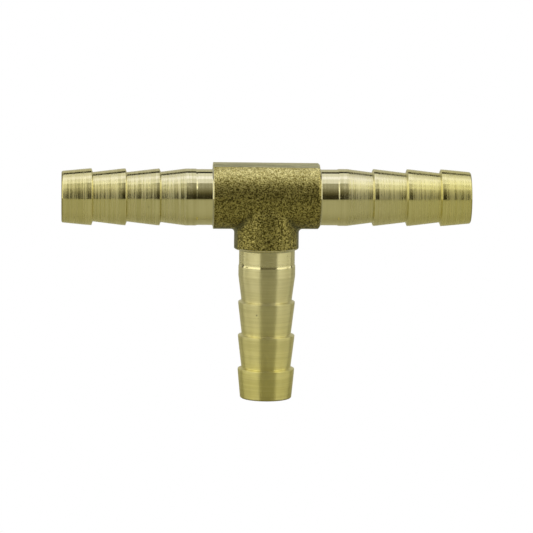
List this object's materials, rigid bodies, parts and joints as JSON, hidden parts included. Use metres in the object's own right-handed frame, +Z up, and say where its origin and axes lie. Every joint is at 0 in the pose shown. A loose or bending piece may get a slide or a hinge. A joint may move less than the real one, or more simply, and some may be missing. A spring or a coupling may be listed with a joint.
{
  "type": "barbed hose tee",
  "caption": "Brass tee for soft hose: a forged centre with three turned barbed tails, all bored through into one passage.",
  "frame": {"origin": "where the run's bore axis crosses the branch's bore axis", "axes": "+X along the run towards the right tail, +Z up, away from the branch, +Y to the back"},
  "size_m": [0.0509, 0.0082, 0.0295],
  "materials": {
    "forged_brass": "rough forged skin, dull and grainy, smoother along the trimmed parting band",
    "turned_brass": "bright as turned, with fine rings from the tool"
  },
  "bodies": {
    "root": {"tee_body": "forged_brass", "left_barbed_tail": "turned_brass", "right_barbed_tail": "turned_brass", "branch_barbed_tail": "turned_brass"}
  },
  "joints": []
}
